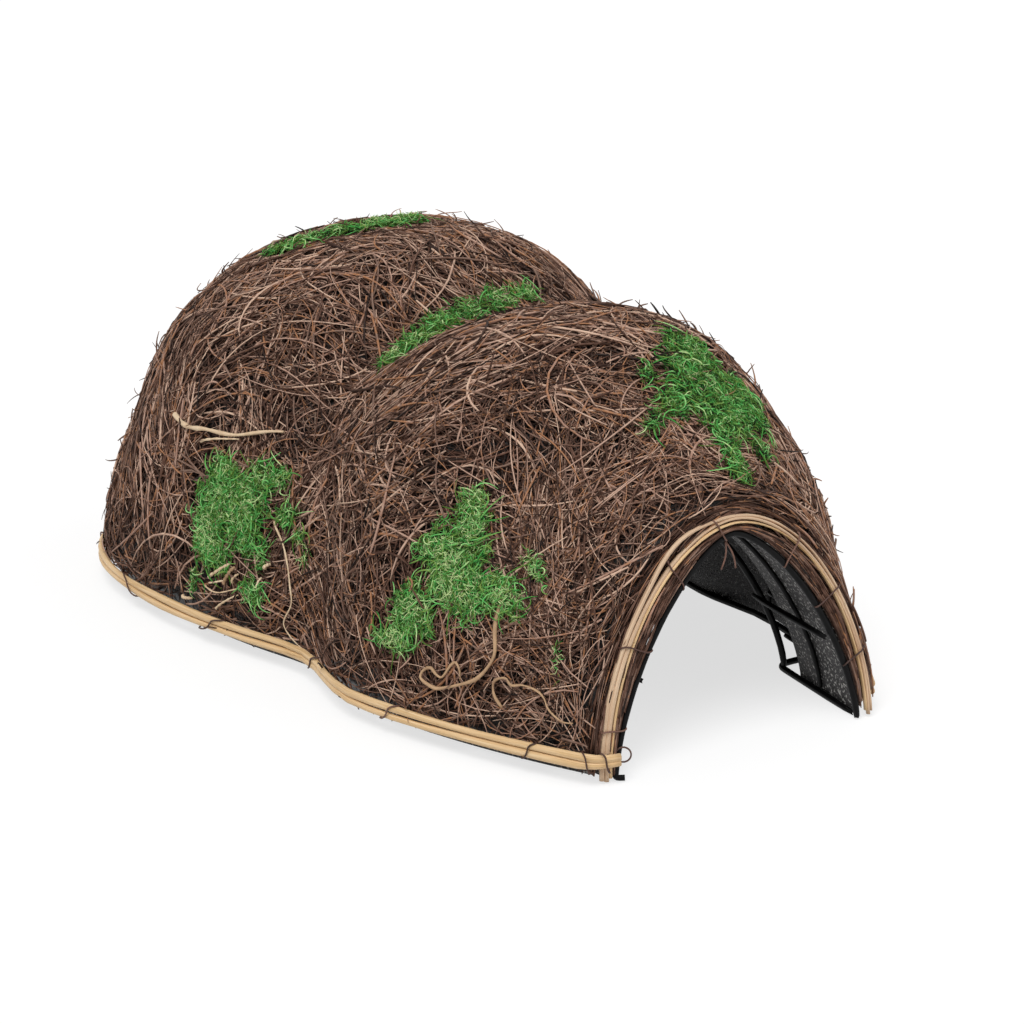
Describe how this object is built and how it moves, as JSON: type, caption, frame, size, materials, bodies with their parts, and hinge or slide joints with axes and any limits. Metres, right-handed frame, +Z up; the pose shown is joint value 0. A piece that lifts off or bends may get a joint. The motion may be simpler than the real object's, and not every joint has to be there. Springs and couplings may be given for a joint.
{
  "type": "hedgehog house",
  "caption": "Free-standing thatched hedgehog house: a welded wire frame with an entrance tunnel under a black liner, two domes of twigs, pads of moss and split-cane trims.",
  "frame": {"origin": "middle of the footprint, on the ground", "axes": "+X to the right of someone who looks in at the entrance, +Y from the entrance to the back, +Z up"},
  "size_m": [0.32, 0.4799, 0.2102],
  "materials": {
    "wire": "semi-gloss black paint on steel wire",
    "liner": "black nonwoven sheet with pale specks",
    "thatch": "loose dry brown twigs",
    "twig": "dry bark, matte",
    "moss": "dried green moss, matte and fuzzy",
    "cane": "pale split cane, satin",
    "tie": "thin dark binding wire"
  },
  "bodies": {
    "root": {"base_ring": "wire", "entrance_hoop": "wire", "tunnel_middle_hoop": "wire", "tunnel_inner_hoop": "wire", "left_sill": "wire", "right_sill": "wire", "left_rail": "wire", "right_rail": "wire", "left_rungs": "wire", "right_rungs": "wire", "front_hoop": "wire", "front_crown_hoop": "wire", "saddle_hoop": "wire", "rear_crown_hoop": "wire", "rear_hoop": "wire", "back_hoop": "wire", "lower_belt": "wire", "upper_belt": "wire", "ridge_wire": "wire", "tunnel_liner": "liner", "front_liner": "liner", "rear_liner": "liner", "front_mat": "thatch", "rear_mat": "thatch", "front_twigs": "twig", "rear_twigs": "twig", "front_top_moss": "moss", "left_front_moss": "moss", "left_rear_moss": "moss", "saddle_moss": "moss", "rear_top_moss": "moss", "base_trim_lower": "cane", "base_trim_upper": "cane", "arch_trim_inner": "cane", "arch_trim_middle": "cane", "arch_trim_outer": "cane", "base_ties": "tie", "arch_ties": "tie"}
  },
  "joints": []
}
